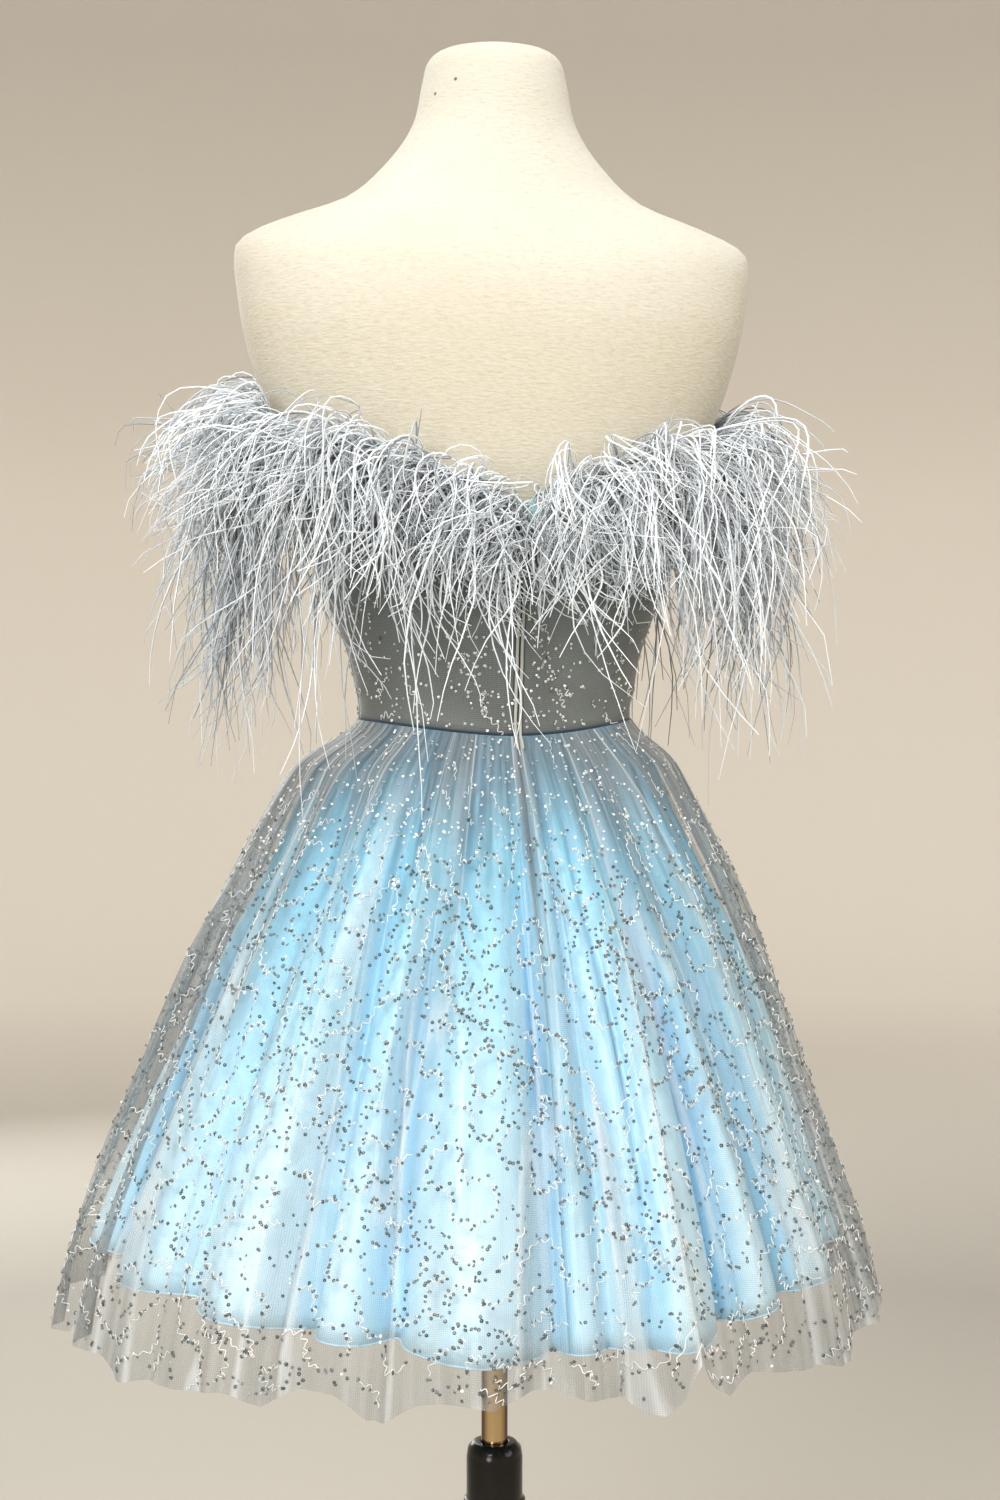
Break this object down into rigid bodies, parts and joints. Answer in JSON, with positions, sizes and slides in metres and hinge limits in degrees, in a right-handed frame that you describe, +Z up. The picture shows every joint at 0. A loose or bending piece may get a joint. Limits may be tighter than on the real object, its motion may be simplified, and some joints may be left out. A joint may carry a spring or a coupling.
{
  "type": "homecoming dress on a limbless dress form",
  "caption": "Short strapless homecoming dress with a feather-trimmed neckline, sequinned net over a flared satin skirt, on a limbless dress form and pole stand.",
  "frame": {"origin": "middle of the stand's underside, on the floor and on the pole's axis", "axes": "+Z up along the pole; the figure's front faces -Y and its zipped back faces +Y; its left side is +X"},
  "size_m": [0.6233, 0.5765, 1.549],
  "materials": {
    "linen_cover": "matte",
    "sequinned_net": "satin",
    "blue_satin": "satin",
    "grey_net": "satin",
    "zip_tape": "matte",
    "zip_metal": "polished",
    "feathers": "matte",
    "brass_pole": "polished",
    "black_stand": "satin",
    "black_column": "gloss"
  },
  "bodies": {
    "stand": {"stand_base": "black_stand", "stand_column": "black_column"},
    "pole": {"pole": "brass_pole"},
    "figure": {"form_torso": "linen_cover", "bodice_back_left": "sequinned_net", "bodice_front": "sequinned_net", "bodice_back_right": "sequinned_net", "satin_skirt_back_left": "blue_satin", "satin_skirt_front": "blue_satin", "satin_skirt_back_right": "blue_satin", "net_skirt_back_left": "grey_net", "net_skirt_front": "grey_net", "net_skirt_back_right": "grey_net", "zip_lip_left": "zip_tape", "zip_lip_right": "zip_tape", "zip_slider": "zip_metal", "feather_trim": "feathers"},
    "zip_pull_tab": {"zip_pull": "zip_metal"}
  },
  "joints": [
    {"name": "height_slide", "type": "slide", "parent": "stand", "child": "pole", "axis": [0, 0, 1], "range_m": [-0.18, 0.14]},
    {"name": "swivel", "type": "hinge", "parent": "pole", "child": "figure", "pos_m": [0, 0, 0.9], "axis": [0, 0, 1], "continuous": true},
    {"name": "zip_pull_hinge", "type": "hinge", "parent": "figure", "child": "zip_pull_tab", "pos_m": [0, 0.10727, 1.18798], "axis": [1, 0, 0], "range_deg": [0, 150]}
  ]
}
